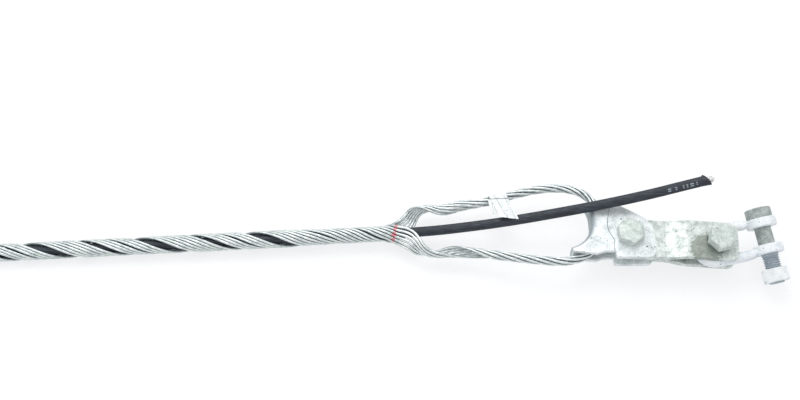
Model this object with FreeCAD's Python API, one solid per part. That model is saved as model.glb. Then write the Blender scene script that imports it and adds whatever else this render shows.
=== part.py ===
import FreeCAD, Part
import math
import os

os.makedirs("parts", exist_ok=True)
Vec = FreeCAD.Vector

# Dead-end assembly for a self-supporting cable, lying on a floor at z = 0.
# Six galvanised wires are wrapped round the cable, leave it as two legs, twist into
# a strand and turn round the saddle of a cast thimble. A bolt joins the thimble to two
# jogged strap links, and a second bolt joins those to a U shackle with its own bolt.
# All sizes are in millimetres. The origin is on the axis of the thimble bolt.

# Cable
cable_d = 11.2
cable_bare_end = 38.0        # bare cable beyond the ends of the wires
core_d = 4.6
core_stub = 5.0

# Wires of the grip
wires = 6
wire_d = 3.0
wire_sides = 6
wire_gap = 0.08              # between the cable and the straight runs of a wire
wire_spacing = 3.3           # centre to centre, square to the wires
strand_r = 3.4               # ring on which the wires lie in the closed strand
lay = 124.0                  # length of one full turn of the wrap
stations_per_turn = 10
fine_steps = 2               # where the legs part, each step is cut in so many
wrap_length = 464.0
lead_in = 12.0               # the loop's curve starts two such steps before the parting
leg_offset_deg = 174.0       # the ribbon of the rear leg follows the front one
split_deg = 15.0             # the rear ribbon lies in two halves with a gap
top_phase_at_x = -246.0      # where the front ribbon would cross the top if it kept its lay
loose_by = 0.9               # the wrap stands off so far from its end
loose_until = 118.0          # to this far before the legs part,
tight_from = 78.0            # and is tight from here on
ahead_deg = 60.0             # a ribbon runs ahead of its lay where the legs part,
ahead_at = 5.0               # most of all so far past the parting,
ahead_before = 75.0          # over this length before that place
ahead_after = 24.0           # and over this length after it
blend_length = 150.0         # over this the open ribbon closes to a strand
fan_length = 75.0            # over this a leg turns from the cable's direction to its own
flat_before = 8.0            # from so far before the legs part
flat_length = 62.0           # a ribbon runs flat over this, while it is still open
flat_by = 25.0               # its own bend opens by this half way
flat_spread = 0.35           # and there is this much more room between its wires

# Where the legs part from the cable, and the slope of the cable there
part_x = -262.0
part_y = 16.8
part_z = 17.0
axis_slope_y = 0.0483
axis_slope_z = 0.0143

# Heights of the stack on the thimble bolt
mid_z = 35.0                 # middle plane of thimble, links and shackle
strap_t = 6.0
strap_play = 0.25            # between a link and the ear beside it
ear_t = 5.0
washer_t = 3.0

# Threaded fasteners, eighteen millimetre size
bolt_d = 18.0
bolt_flats = 27.0
head_t = 11.5
nut_t = 15.0
thread_play = 0.06
tip_bevel = 1.2
head_bevel_d = 25.6          # circle left flat on the top of a head or nut
bevel_deg = 30.0
washer_d = 34.0
washer_play = 0.4
ear_hole_d = 19.5

# Thimble casting
saddle_r = 31.0              # hollow left face of the saddle wall
saddle_x = -72.0
saddle_y = 16.0
saddle_flat = 8.0            # straight part between the two bends
saddle_low_deg = -75.0
saddle_high_deg = 25.0
saddle_wall = 6.0
saddle_roll = 4.6            # rounding where the plates turn into the wall
strand_play = 0.9            # between the strand and the wall
cover_past_strand = 5.1      # how far the plates reach past the strand
ear_r = 27.0
shoulder_x = -9.0            # corner of the plate behind the bolt
shoulder_y = 37.0
far_corner_r = 9.0           # the plate is squarer in front of the bolt
near_corner_r = 3.0
near_side_x = -17.0
notch_x = -28.6              # hollow of the front edge between the bolt and the saddle
notch_y = -19.5
front_corner_x = -37.1
front_corner_y = -22.5

# Strap links
link_turn_deg = -4.4
link_pitch = 94.5            # between the two bolt holes
strap_w = 44.5
strap_end = 22.5             # from the far hole to the end
strap_corner_r = 9.0
jog_start = 41.0
jog_end = 62.0
jog_rise = 6.0
jog_bend_r = 9.0
link_hole_d = 22.6           # worn loose on the leaning bolt

# Leaning link bolt
lean_deg = 8.0
lean_towards_deg = -60.0
lean_head_z = 53.2
lean_shank = 51.0
lean_nut_up = 3.4            # thread standing out below the nut

# Turns of the hexagons about their bolts, as they were left by the spanner
thimble_head_deg = 36.0
thimble_nut_deg = 20.0
link_head_deg = 16.0
link_nut_deg = 25.0
pin_head_deg = 0.0
pin_nut_deg = 8.0

# Shackle
bow_x = 91.8
bow_y = -9.3
shackle_turn_deg = 12.5
roll_deg = 18.0              # the eyes are rolled about the line of the legs
bow_inner_r = 13.5
stock_d = 11.2
leg_straight = 28.0          # until the bar has cleared the straps
bow_to_pin = 60.0
eye_reach = 14.8             # from the middle of the shackle to the middle of an eye
eye_r = 16.5
neck = 7.0                   # the leg thins over this length into its eye
neck_in = 3.0                # and ends this far inside the eye's rim
neck_tip_d = 6.4
eye_t = 10.2
eye_hole_d = 19.5
eye_edge = 1.2
pin_length = 72.9            # under the head of the shackle bolt
pin_nut_back = 1.5           # thread standing out past the nut
head_play = 0.05             # between the head and the eye

# Tag folded round the rear leg
tag_w = 19.0
tag_t = 0.5
tag_reach = 29.0
tag_play = 0.5
tag_at_x = -139.0
tag_lift_deg = -24.0         # the flag rises from the leg to lie over the cable

# Routes chosen by hand. The legs start and end on the cable where they part.
front_leg = [
    (-200.8, -8.0, 21.5), (-176.0, -10.0, 22.5), (-150.4, -13.6, 24.5),
    (-118.1, -20.2, 28.5), (-91.4, -24.6, 31.5)]
rear_leg = [
    (-60.5, 64.6, 33.0), (-80.8, 67.0, 31.0), (-113.4, 63.2, 27.5),
    (-155.4, 53.8, 23.0), (-188.2, 49.0, 20.0), (-208.0, 44.6, 18.0)]
front_fan = [
    (-249.4, 13.8, 17.6), (-239.7, 8.8, 18.0), (-231.8, 4.2, 18.5),
    (-223.9, -1.4, 19.1), (-214.0, -6.6, 20.0)]
rear_fan = [
    (-219.0, 45.0, 17.4), (-227.0, 42.5, 17.2), (-235.0, 35.5, 17.0),
    (-243.0, 26.5, 17.0), (-252.0, 19.6, 17.1)]
tail_route = [
    (-182.0, 20.8, 24.6), (-132.0, 25.2, 33.4), (-80.0, 30.6, 44.0),
    (-28.0, 35.6, 54.6), (24.0, 43.0, 64.2), (60.0, 49.0, 70.6), (90.0, 53.6, 75.6)]
tail_first_run = 37.0


def axis_point(x):
    """Centre of the straight part of the cable at a given x."""
    return Vec(x, part_y + axis_slope_y * (x - part_x), part_z + axis_slope_z * (x - part_x))


axis_dir = Vec(1, axis_slope_y, axis_slope_z).normalize()
cos_half = math.cos(math.pi / stations_per_turn)
wrap_r = (cable_d / 2 + wire_gap + wire_d / 2) / cos_half
strand_d = 2 * strand_r + wire_d
strand_path_r = saddle_r + saddle_wall + strand_play + strand_d / 2
saddle_top_y = saddle_y + saddle_flat
ear_inner = strap_t + strap_play
groove_z0 = mid_z - ear_inner
groove_z1 = mid_z + ear_inner
pin_middle = Vec(bow_to_pin, 0, 0)
pin_axis = Vec(0, math.cos(math.radians(roll_deg)), math.sin(math.radians(roll_deg)))


def polar(cx, cy, r, deg, z=0.0):
    """Point at radius r and angle deg about a centre."""
    a = math.radians(deg)
    return Vec(cx + r * math.cos(a), cy + r * math.sin(a), z)


def smooth(t):
    """Smooth step from 0 to 1."""
    t = min(max(t, 0.0), 1.0)
    return t * t * (3 - 2 * t)


def ahead(inside):
    """How far a ribbon runs ahead of its even lay near the parting, in radians."""
    past = inside - ahead_at
    reach = ahead_after if past > 0 else ahead_before
    return math.radians(ahead_deg) * smooth(1 - abs(past) / reach)


def front_phase(x):
    """Direction from the cable to the middle of the front ribbon, in radians."""
    even = math.radians(90.0) + 2 * math.pi * (x - top_phase_at_x) / lay
    return even + ahead(x - part_x)


def rear_phase(x):
    """The same for the ribbon of the rear leg."""
    return front_phase(x) - math.radians(leg_offset_deg)


def loop_curve():
    """Smooth centre line of the legs and of the turn round the saddle."""
    on_cable = [axis_point(part_x - lead) for lead in (2 * lead_in, lead_in, 0.0)]
    points = on_cable + [Vec(*p) for p in front_fan + front_leg]
    for deg in (saddle_low_deg, saddle_low_deg / 2, 0.0):
        points.append(polar(saddle_x, saddle_y, strand_path_r, deg, mid_z))
    for deg in (0.0, saddle_high_deg, 2 * saddle_high_deg):
        points.append(polar(saddle_x, saddle_top_y, strand_path_r, deg, mid_z))
    points += [Vec(*p) for p in rear_leg + rear_fan]
    points += on_cable[::-1]
    curve = Part.BSplineCurve()
    curve.interpolate(points)
    return curve.toShape()


def spaced(first, last, step):
    """Places from the first up to the last, which is left out, about a step apart."""
    count = max(int(round((last - first) / step)), 1)
    return [first + (last - first) * i / count for i in range(count)]


def strand_stations():
    """Stations along the whole strand, each with a frame that does not twist.

    A station is its point, two directions across the strand, how far it lies inside the
    loop from the nearer parting place, and its distance from the start.
    """
    wrap_end = axis_point(part_x - 2 * lead_in)
    loop = loop_curve()
    total = 2 * wrap_length + loop.Length
    leave = wrap_length + 2 * lead_in
    rejoin = total - leave
    step = lay / stations_per_turn
    places = spaced(0.0, leave - ahead_before, step)
    places += spaced(leave - ahead_before, leave + fan_length, step / fine_steps)
    back = [total - s for s in places[::-1]]
    places += spaced(leave + fan_length, rejoin - fan_length, step)
    places += [rejoin - fan_length] + back
    points = []
    for s in places:
        on_wrap = max(wrap_length - s, s - wrap_length - loop.Length)
        if on_wrap > 0:
            points.append(wrap_end - axis_dir * on_wrap)
        else:
            points.append(loop.valueAt(loop.getParameterByLength(s - wrap_length)))
    last = len(points) - 1
    side = Vec(0, 1, 0)
    stations = []
    for i, p in enumerate(points):
        inside = min(places[i] - leave, rejoin - places[i])
        own = (points[min(i + 1, last)] - points[max(i - 1, 0)]).normalize()
        cable = axis_dir if i < last / 2 else axis_dir * -1
        turned = smooth(inside / fan_length)
        facing = (own * turned + cable * (1 - turned)).normalize()
        side = (side - facing * side.dot(facing)).normalize()
        stations.append((p, side, facing.cross(side), inside, places[i]))
    return stations, leave, rejoin


def ribbon_phases(stations, leave, rejoin):
    """Phase of the middle of the ribbon at each station, in radians."""
    turn = 2 * math.pi / lay
    first = [s for s in stations if s[4] < leave + 0.01][-1]
    final = next(s for s in stations if s[4] > rejoin - 0.01)
    start = front_phase(part_x) - math.atan2(first[1].z, first[1].y)
    finish = math.atan2(final[1].z, final[1].y) - rear_phase(part_x)
    twist = turn * (rejoin - leave) - 2 * ahead(0.0)
    whole = round((start + twist - finish) / (2 * math.pi))
    spare = finish + 2 * math.pi * whole - start - twist
    phases = []
    for station in stations:
        s = station[4]
        middle = smooth((s - leave - fan_length) / (rejoin - leave - 2 * fan_length))
        early = ahead(s - leave) - ahead(rejoin - s) - ahead(0.0)
        phases.append(start + turn * (s - leave) + early + spare * middle)
    return phases


def looseness(inside):
    """One where the wrap stands off the cable, none where it is tight."""
    return 1 - smooth((inside + loose_until) / (loose_until - tight_from))


def ribbon_radius(inside):
    """Distance of the wires from the middle: open on the cable, closed in the strand."""
    closing = smooth(inside / blend_length)
    return strand_r + (wrap_r - strand_r) * (1 - closing) + loose_by * looseness(inside)


def wire_section(centre, tangent, side):
    """Six-sided section of a wire, square to its run."""
    up = tangent.cross(side)
    corners = []
    for k in range(wire_sides + 1):
        a = 2 * math.pi * k / wire_sides
        corners.append(centre + (side * math.cos(a) + up * math.sin(a)) * (wire_d / 2))
    return Part.makePolygon(corners)


def wire_centres(number, stations, phases):
    """Centre line of one wire, given its place in the ribbon."""
    offset = number - (wires - 1) / 2
    last = len(stations) - 1
    centres = []
    for i, (p, e1, e2, inside, along) in enumerate(stations):
        r = ribbon_radius(inside)
        flat = min(max((inside + flat_before) / flat_length, 0.0), 1.0)
        hump = smooth(2 * min(flat, 1 - flat))
        bend_r = r + flat_by * hump
        before = max(i - 1, 0)
        after = min(i + 1, last)
        rate = (phases[after] - phases[before]) / (stations[after][4] - stations[before][4])
        apart = wire_spacing * math.hypot(1, r * rate) * (1 + flat_spread * hump)
        a = phases[i]
        away = offset * 2 * math.asin(min(apart / (2 * bend_r), 0.5))
        if i > last / 2:
            split = math.radians(split_deg) / 2 * looseness(inside)
            away += math.copysign(split, offset)
        middle = p + (e1 * math.cos(a) + e2 * math.sin(a)) * (r - bend_r)
        a += away
        centres.append(middle + (e1 * math.cos(a) + e2 * math.sin(a)) * bend_r)
    return centres


def grip_wires():
    """All wires, each one piece from end to end: wrap, leg, saddle, leg, wrap."""
    stations, leave, rejoin = strand_stations()
    phases = ribbon_phases(stations, leave, rejoin)
    solids = []
    for number in range(wires):
        centres = wire_centres(number, stations, phases)
        side = Vec(0, 0, 1)
        last = len(centres) - 1
        sections = []
        for i, c in enumerate(centres):
            tangent = (centres[min(i + 1, last)] - centres[max(i - 1, 0)]).normalize()
            side = (side - tangent * side.dot(tangent)).normalize()
            sections.append(wire_section(c, tangent, side))
        solids.append(Part.makeLoft(sections, True, True))
    return solids


def straight_cable():
    """The cable inside the wrap, with its bare end."""
    length = wrap_length + 2 * lead_in + cable_bare_end
    start = axis_point(part_x) - axis_dir * length
    return Part.makeCylinder(cable_d / 2, length, start, axis_dir)


def cable_tail():
    """The free end of the cable: straight runs joined by tangent arcs."""
    start = axis_point(part_x)
    points = [start, start + axis_dir * tail_first_run] + [Vec(*p) for p in tail_route]
    edges = []
    here = points[0]
    for i in range(1, len(points) - 1):
        back = (points[i - 1] - points[i]).normalize()
        ahead = (points[i + 1] - points[i]).normalize()
        turn = math.pi - back.getAngle(ahead)
        shorter = min((points[i] - points[i - 1]).Length, (points[i + 1] - points[i]).Length)
        cut = 0.45 * shorter
        radius = cut / math.tan(turn / 2)
        p = points[i] + back * cut
        q = points[i] + ahead * cut
        bisector = (back + ahead).normalize()
        centre = points[i] + bisector * math.hypot(radius, cut)
        middle = centre - bisector * radius
        edges.append(Part.LineSegment(here, p).toShape())
        edges.append(Part.Arc(p, middle, q).toShape())
        here = q
        print("tail bend radius", round(radius, 1), "turn", round(math.degrees(turn), 2))
    edges.append(Part.LineSegment(here, points[-1]).toShape())
    path = Part.Wire(edges)
    section = Part.Wire(Part.makeCircle(cable_d / 2, points[0], axis_dir))
    tube = path.makePipeShell([section], True, True)
    ideal = path.Length * math.pi * cable_d ** 2 / 4
    print("tail length", round(path.Length, 1), "volume ratio", round(tube.Volume / ideal, 5))
    return tube, points[-1], (points[-1] - points[-2]).normalize()


def hexagon_prism(flats, height):
    """Hexagonal bar with its flats facing front and back."""
    r = flats / math.sqrt(3)
    corners = [polar(0, 0, r, 60 * k) for k in range(7)]
    return Part.Face(Part.makePolygon(corners)).extrude(Vec(0, 0, height))


def crown(height, both_ends):
    """Turned body that chamfers the corners of a head or nut."""
    corner_r = bolt_flats / math.sqrt(3)
    bevel_r = head_bevel_d / 2
    drop = (corner_r + 1 - bevel_r) * math.tan(math.radians(bevel_deg))
    low = bevel_r if both_ends else corner_r + 1
    points = [Vec(0, 0, 0), Vec(low, 0, 0)]
    if both_ends:
        points.append(Vec(corner_r + 1, 0, drop))
    points += [Vec(corner_r + 1, 0, height - drop), Vec(bevel_r, 0, height), Vec(0, 0, height)]
    profile = Part.Face(Part.makePolygon(points + [points[0]]))
    return profile.revolve(Vec(0, 0, 0), Vec(0, 0, 1), 360)


def bolt(shank_length):
    """Bolt with its head on top: the underside of the head lies at z = 0."""
    head = hexagon_prism(bolt_flats, head_t).common(crown(head_t, False))
    tip = Part.makeCone(bolt_d / 2 - tip_bevel, bolt_d / 2, tip_bevel, Vec(0, 0, -shank_length))
    shank = Part.makeCylinder(bolt_d / 2, shank_length - tip_bevel,
                              Vec(0, 0, tip_bevel - shank_length))
    return head.fuse([shank, tip]).removeSplitter()


def nut():
    """Plain hexagon nut that stands on z = 0."""
    body = hexagon_prism(bolt_flats, nut_t).common(crown(nut_t, True))
    return body.cut(Part.makeCylinder(bolt_d / 2 + thread_play, nut_t))


def placed(shape, origin, direction, turn_deg=0.0):
    """Copy of a shape turned about its axis and then set along a direction."""
    copy = shape.copy()
    copy.rotate(Vec(0, 0, 0), Vec(0, 0, 1), turn_deg)
    turn = FreeCAD.Rotation(Vec(0, 0, 1), direction)
    copy.Placement = FreeCAD.Placement(origin, turn).multiply(copy.Placement)
    return copy


def arc_edge(cx, cy, r, deg0, deg1, z=0.0):
    """Arc in plan from one angle to another."""
    middle = polar(cx, cy, r, (deg0 + deg1) / 2, z)
    return Part.Arc(polar(cx, cy, r, deg0, z), middle, polar(cx, cy, r, deg1, z)).toShape()


def line(a, b):
    """Straight edge."""
    return Part.LineSegment(a, b).toShape()


def saddle_edges(r, z):
    """Two bends of the saddle with the flat between them, from low end to high end."""
    low = arc_edge(saddle_x, saddle_y, r, saddle_low_deg, 0.0, z)
    flat = line(Vec(saddle_x + r, saddle_y, z), Vec(saddle_x + r, saddle_top_y, z))
    high = arc_edge(saddle_x, saddle_top_y, r, 0.0, saddle_high_deg, z)
    return [low, flat, high]


def tangent_deg(px, py, r, side):
    """Angle of the point where a line from (px, py) touches a circle about the origin."""
    away = math.atan2(py, px)
    return math.degrees(away + side * math.acos(r / math.hypot(px, py)))


def ear_plate(z):
    """One plate of the thimble: it covers the saddle and carries the bolt."""
    rear_r = strand_path_r + cover_past_strand
    rear_in = polar(saddle_x, saddle_top_y, saddle_r, saddle_high_deg, z)
    rear_out = polar(saddle_x, saddle_top_y, rear_r, saddle_high_deg, z)
    shoulder = Vec(shoulder_x, shoulder_y, z)
    rear_touch = tangent_deg(shoulder.x, shoulder.y, ear_r, -1)
    tip_in = polar(saddle_x, saddle_y, saddle_r, saddle_low_deg, z)
    tip_out = polar(saddle_x, saddle_y, saddle_r + saddle_wall, saddle_low_deg, z)
    far = ear_r - far_corner_r
    near_x = near_side_x + near_corner_r
    near_y = near_corner_r - ear_r
    step = Vec(near_side_x, notch_y, z)
    notch = Vec(notch_x, notch_y, z)
    corner = Vec(front_corner_x, front_corner_y, z)
    edges = saddle_edges(saddle_r, z)
    edges.append(line(rear_in, rear_out))
    edges.append(line(rear_out, shoulder))
    edges.append(line(shoulder, polar(0, 0, ear_r, rear_touch, z)))
    edges.append(arc_edge(0, 0, ear_r, rear_touch, 0.0, z))
    edges.append(line(Vec(ear_r, 0, z), Vec(ear_r, -far, z)))
    edges.append(arc_edge(far, -far, far_corner_r, 0.0, -90.0, z))
    edges.append(line(Vec(far, -ear_r, z), Vec(near_x, -ear_r, z)))
    edges.append(arc_edge(near_x, near_y, near_corner_r, -90.0, -180.0, z))
    edges.append(line(Vec(near_side_x, near_y, z), step))
    edges.append(line(step, notch))
    edges.append(line(notch, corner))
    edges.append(line(corner, tip_out))
    edges.append(line(tip_out, tip_in))
    outline = Part.Wire(Part.__sortEdges__(edges))
    return Part.Face(outline).extrude(Vec(0, 0, ear_t))


def saddle_wall_solid():
    """Wall between the two plates that the strand bears on."""
    z = groove_z0
    outer = saddle_edges(saddle_r + saddle_wall, z)
    inner = saddle_edges(saddle_r, z)
    ends = []
    for y, deg in ((saddle_y, saddle_low_deg), (saddle_top_y, saddle_high_deg)):
        a = polar(saddle_x, y, saddle_r, deg, z)
        b = polar(saddle_x, y, saddle_r + saddle_wall, deg, z)
        ends.append(line(a, b))
    outline = Part.Wire(Part.__sortEdges__(outer + inner + ends))
    return Part.Face(outline).extrude(Vec(0, 0, groove_z1 - groove_z0))


def thimble():
    """Casting: a saddle wall with a plate above and one below, and a hole for the bolt."""
    low_z = groove_z0 - ear_t
    high_z = groove_z1 + ear_t
    body = saddle_wall_solid().fuse([ear_plate(low_z), ear_plate(groove_z1)])
    body = body.removeSplitter()
    rolled = []
    for edge in body.Edges:
        c = edge.CenterOfMass
        flat = abs(c.z - low_z) < 0.01 or abs(c.z - high_z) < 0.01
        on_face = edge.Curve.TypeId == "Part::GeomCircle"
        if flat and on_face and abs(edge.Curve.Radius - saddle_r) < 0.01:
            rolled.append(edge)
        elif flat and abs(c.x - saddle_x - saddle_r) < 0.01:
            rolled.append(edge)
    body = body.makeFillet(saddle_roll, rolled)
    hole = Part.makeCylinder(ear_hole_d / 2, high_z, Vec(0, 0, low_z - 1))
    return body.cut(hole)


def strap():
    """Upper strap link along x from its first hole: a bent plate with two holes."""
    rise = math.atan2(jog_rise, jog_end - jog_start)
    half = jog_bend_r * math.tan(rise / 2)
    end_x = link_pitch + strap_end
    z = mid_z
    lower = [Vec(-strap_w / 2, 0, z), Vec(jog_start, 0, z), Vec(jog_end, 0, z + jog_rise),
             Vec(end_x, 0, z + jog_rise)]
    run = (lower[2] - lower[1]).normalize()
    centre_a = Vec(jog_start - half, 0, z + jog_bend_r)
    centre_b = Vec(jog_end + half, 0, z + jog_rise - jog_bend_r)

    def skin(offset):
        """Line of the plate at a distance above its underside."""
        ra = jog_bend_r - offset
        rb = jog_bend_r + offset
        a0 = centre_a + Vec(0, 0, -ra)
        a1 = centre_a + Vec(run.z, 0, -run.x) * ra
        am = centre_a + Vec(math.sin(rise / 2), 0, -math.cos(rise / 2)) * ra
        b0 = centre_b + Vec(-run.z, 0, run.x) * rb
        b1 = centre_b + Vec(0, 0, rb)
        bm = centre_b + Vec(-math.sin(rise / 2), 0, math.cos(rise / 2)) * rb
        start = Vec(lower[0].x, 0, z + offset)
        finish = Vec(end_x, 0, z + jog_rise + offset)
        return [line(start, a0), Part.Arc(a0, am, a1).toShape(), line(a1, b0),
                Part.Arc(b0, bm, b1).toShape(), line(b1, finish)], start, finish

    under, u0, u1 = skin(0.0)
    over, o0, o1 = skin(strap_t)
    outline = Part.Wire(Part.__sortEdges__(under + over + [line(u0, o0), line(u1, o1)]))
    bent = Part.Face(outline).extrude(Vec(0, strap_w, 0))
    bent.translate(Vec(0, -strap_w / 2, 0))
    r = strap_w / 2
    c = strap_corner_r
    plan = [
        Part.Arc(Vec(0, r, 0), Vec(-r, 0, 0), Vec(0, -r, 0)).toShape(),
        line(Vec(0, -r, 0), Vec(end_x - c, -r, 0)),
        arc_edge(end_x - c, -r + c, c, -90.0, 0.0),
        line(Vec(end_x, -r + c, 0), Vec(end_x, r - c, 0)),
        arc_edge(end_x - c, r - c, c, 0.0, 90.0),
        line(Vec(end_x - c, r, 0), Vec(0, r, 0))]
    blank = Part.Face(Part.Wire(Part.__sortEdges__(plan))).extrude(Vec(0, 0, 2 * mid_z))
    body = bent.common(blank)
    body = body.cut(Part.makeCylinder(ear_hole_d / 2, 2 * mid_z))
    return body.cut(Part.makeCylinder(link_hole_d / 2, 2 * mid_z, Vec(link_pitch, 0, 0)))


def links():
    """The two straps: the lower one is the upper one turned over."""
    upper = strap()
    lower = upper.mirror(Vec(0, 0, mid_z), Vec(0, 0, 1))
    for piece in (upper, lower):
        piece.rotate(Vec(0, 0, 0), Vec(0, 0, 1), link_turn_deg)
    return upper, lower


def shackle():
    """Forged U of round bar with a flat eye on each leg, drawn about its bow."""
    bar = stock_d / 2
    reach = bow_inner_r + bar
    bow = Part.makeTorus(reach, bar, Vec(0, 0, 0), Vec(0, 0, 1), -180, 180, 180)
    bow.rotate(Vec(0, 0, 0), Vec(0, 0, 1), 90)
    pieces = []
    for side in (-1, 1):
        straight = Part.makeCylinder(bar, leg_straight, Vec(0, side * reach, 0), Vec(1, 0, 0))
        bend = Vec(leg_straight, side * reach, 0)
        eye = pin_middle + pin_axis * (side * eye_reach)
        run = (eye - bend).normalize()
        neck_at = eye - run * (eye_r - neck_in + neck)
        leg = Part.makeCylinder(bar, (neck_at - bend).Length, bend, run)
        thin = Part.makeCone(bar, neck_tip_d / 2, neck, neck_at, run)
        disc = Part.makeCylinder(eye_r, eye_t, eye - pin_axis * (eye_t / 2), pin_axis)
        rims = [e for e in disc.Edges if e.Length > math.pi * eye_r]
        pieces += [straight, Part.makeSphere(bar, bend), leg, thin,
                   disc.makeChamfer(eye_edge, rims)]
    body = bow.fuse(pieces).removeSplitter()
    half_width = eye_reach + eye_t
    hole = Part.makeCylinder(eye_hole_d / 2, 2 * half_width, pin_middle - pin_axis * half_width,
                             pin_axis)
    return body.cut(hole)


def set_shackle(piece):
    """Turn a piece drawn about the bow into its place on the link."""
    copy = piece.copy()
    copy.rotate(Vec(0, 0, 0), Vec(0, 0, 1), shackle_turn_deg)
    copy.translate(Vec(bow_x, bow_y, mid_z))
    return copy


def tag():
    """Plastic tag folded round the rear leg, its two ends stuck together as a flag."""
    stations = strand_stations()[0]
    rear = stations[len(stations) // 2:]
    at = min(range(1, len(rear) - 1), key=lambda i: abs(rear[i][0].x - tag_at_x))
    centre = rear[at][0]
    along = (rear[at - 1][0] - rear[at + 1][0]).normalize()
    r_in = ribbon_radius(rear[at + 1][3]) + wire_d / 2 + tag_play
    r_out = r_in + tag_t
    up = Vec(0, 0, 1)
    ring = Part.makeCylinder(r_out, tag_w, Vec(0, 0, -tag_w / 2), up)
    flag = Part.makeBox(2 * tag_t, tag_reach, tag_w, Vec(-r_in - tag_t, -tag_reach, -tag_w / 2))
    body = ring.fuse(flag)
    body = body.cut(Part.makeCylinder(r_in, tag_w, Vec(0, 0, -tag_w / 2), up))
    body.rotate(Vec(0, 0, 0), up, tag_lift_deg)
    across = Vec(0, 1, 0)
    across = (across - along * across.dot(along)).normalize()
    turn = FreeCAD.Rotation(across.cross(along), across, along)
    body.Placement = FreeCAD.Placement(centre, turn).multiply(body.Placement)
    return body


def build():
    """All pieces of the assembly by name."""
    parts = {"cable_in_grip": straight_cable()}
    tube, tail_end, tail_dir = cable_tail()
    parts["cable_tail"] = tube
    parts["cable_core_stub"] = Part.makeCylinder(core_d / 2, core_stub, tail_end, tail_dir)
    for number, solid in enumerate(grip_wires()):
        parts["grip_wire_%d" % (number + 1)] = solid
    parts["marking_tag"] = tag()

    parts["thimble"] = thimble()
    up = Vec(0, 0, 1)
    ear_top = groove_z1 + ear_t
    ear_bottom = groove_z0 - ear_t
    parts["thimble_bolt"] = placed(bolt(ear_top), Vec(0, 0, ear_top), up,
                                   thimble_head_deg)
    ring = Part.makeCylinder(washer_d / 2, washer_t)
    ring = ring.cut(Part.makeCylinder(bolt_d / 2 + washer_play, washer_t))
    parts["thimble_washer"] = placed(ring, Vec(0, 0, ear_bottom - washer_t), up)
    parts["thimble_nut"] = placed(nut(), Vec(0, 0, ear_bottom - washer_t - nut_t), up,
                                  thimble_nut_deg)

    upper, lower = links()
    parts["strap_upper"] = upper
    parts["strap_lower"] = lower
    lean = math.radians(lean_deg)
    towards = math.radians(lean_towards_deg)
    lean_dir = Vec(math.sin(lean) * math.cos(towards), math.sin(lean) * math.sin(towards),
                   math.cos(lean))
    hole = polar(0, 0, link_pitch, link_turn_deg, mid_z)
    head_at = hole + lean_dir * ((lean_head_z - mid_z) / lean_dir.z)
    parts["link_bolt"] = placed(bolt(lean_shank), head_at, lean_dir, link_head_deg)
    nut_at = head_at - lean_dir * (lean_shank - lean_nut_up)
    parts["link_nut"] = placed(nut(), nut_at, lean_dir, link_nut_deg)

    parts["shackle"] = set_shackle(shackle())
    seat = pin_middle + pin_axis * (eye_reach + eye_t / 2 + head_play)
    parts["shackle_bolt"] = set_shackle(placed(bolt(pin_length), seat, pin_axis, pin_head_deg))
    nut_seat = seat - pin_axis * (pin_length - pin_nut_back)
    pin_nut = placed(nut(), nut_seat, pin_axis, pin_nut_deg)
    parts["shackle_nut"] = set_shackle(pin_nut)
    return parts


for name, shape in build().items():
    solid = shape if shape.ShapeType == "Solid" else shape.Solids[0]
    assert len(shape.Solids) == 1 and solid.isValid(), name
    solid.exportStep("parts/%s.step" % name)
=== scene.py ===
import math
import bpy
import numpy as np
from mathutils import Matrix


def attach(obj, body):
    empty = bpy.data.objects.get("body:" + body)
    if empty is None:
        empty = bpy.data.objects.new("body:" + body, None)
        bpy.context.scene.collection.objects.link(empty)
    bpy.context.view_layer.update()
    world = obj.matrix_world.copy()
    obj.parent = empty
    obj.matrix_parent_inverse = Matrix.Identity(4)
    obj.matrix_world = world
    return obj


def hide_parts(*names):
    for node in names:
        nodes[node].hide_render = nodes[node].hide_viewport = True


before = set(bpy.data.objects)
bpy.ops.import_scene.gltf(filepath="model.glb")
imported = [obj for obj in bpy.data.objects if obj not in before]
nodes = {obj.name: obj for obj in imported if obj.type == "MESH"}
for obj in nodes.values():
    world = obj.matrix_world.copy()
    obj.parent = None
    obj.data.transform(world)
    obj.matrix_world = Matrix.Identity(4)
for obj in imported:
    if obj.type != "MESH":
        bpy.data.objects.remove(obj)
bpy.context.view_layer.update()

scene = bpy.context.scene
scene.view_settings.view_transform = "Standard"


# The camera stands in front of the grip and looks down on it at sixty degrees. The
# assembly lies on a sheet of white paper, under wide soft lamps that hang behind it and
# off the wrap's far end, so the shadows are faint.

camera = bpy.data.objects.new("camera", bpy.data.cameras.new("camera"))
scene.collection.objects.link(camera)
camera.location = (-0.2505, -0.5619, 1.0945)
camera.rotation_euler = (math.radians(30), 0, 0)
camera.data.lens = 49.13
camera.data.clip_start = 0.01
scene.camera = camera


def linear(code):
    """Colour from an sRGB hex value: each channel raised to about 2.4, as the standard says."""
    s = [int(code[i:i + 2], 16) / 255 for i in (1, 3, 5)]
    return tuple(c / 12.92 if c <= 0.04045 else ((c + 0.055) / 1.055) ** 2.4 for c in s) + (1,)


def add(tree, kind, values=None, links=None, **settings):
    """Adds one shader node with its settings, its own socket values and its links."""
    made = tree.nodes.new("ShaderNode" + kind)
    for key, value in settings.items():
        setattr(made, key, value)
    for key, value in (values or {}).items():
        made.inputs[key].default_value = value
    for key, source in (links or {}).items():
        tree.links.new(source, made.inputs[key])
    return made


def new_finish(name):
    """Empty material whose Principled shader is ready for values."""
    finish = bpy.data.materials.new(name)
    finish.use_nodes = True
    tree = finish.node_tree
    return finish, tree, tree.nodes["Principled BSDF"]


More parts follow.
